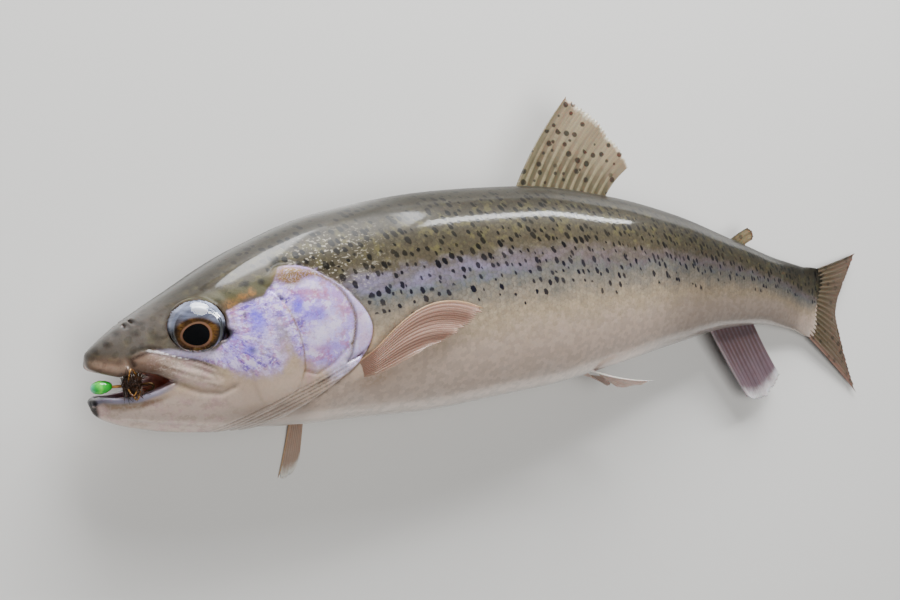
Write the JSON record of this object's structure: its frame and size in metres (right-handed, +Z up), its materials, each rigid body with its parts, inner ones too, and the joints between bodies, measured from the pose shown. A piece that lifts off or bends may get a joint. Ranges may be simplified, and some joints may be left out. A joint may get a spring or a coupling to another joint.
{
  "type": "rainbow trout",
  "caption": "Life-size rainbow trout, a still model lying on its right side with its mouth a little open, fins half spread and a small beaded fly caught in its lip.",
  "frame": {"origin": "floor under the middle of the whole fish", "axes": "+X from snout towards tail, +Y towards the back, +Z up, out of the left flank"},
  "size_m": [0.2868, 0.1136, 0.0366],
  "materials": {
    "body_skin": "wet scaled skin, olive back with black spots, lilac band, pale belly",
    "head_skin": "wet smooth skin, grey-olive with dark spots",
    "cheek_skin": "wet silvery lilac skin with a blue and gold sheen",
    "jaw_skin": "wet smooth pink-beige skin",
    "mouth_lining": "wet brown-pink lining",
    "fin": "thin pink-brown membrane over soft rays",
    "eye": "clear dome over a gold-brown iris and a black pupil",
    "bead": "bright green gloss",
    "fly_dressing": "dark brown fibres",
    "hook_wire": "bronzed wire"
  },
  "bodies": {
    "root": {"head": "head_skin", "lower_jaw": "jaw_skin", "maxilla_left": "jaw_skin", "maxilla_right": "jaw_skin", "gill_cover_left": "cheek_skin", "gill_cover_right": "cheek_skin", "eye_left": "eye", "eye_right": "eye", "tongue": "mouth_lining", "trunk": "body_skin", "tail_stalk": "body_skin", "dorsal_fin": "fin", "adipose_fin": "fin", "caudal_fin": "fin", "anal_fin": "fin", "pectoral_fin_left": "fin", "pectoral_fin_right": "fin", "pelvic_fin_left": "fin", "pelvic_fin_right": "fin", "fly_bead": "bead", "fly_body": "fly_dressing", "fly_hook": "hook_wire"}
  },
  "joints": []
}
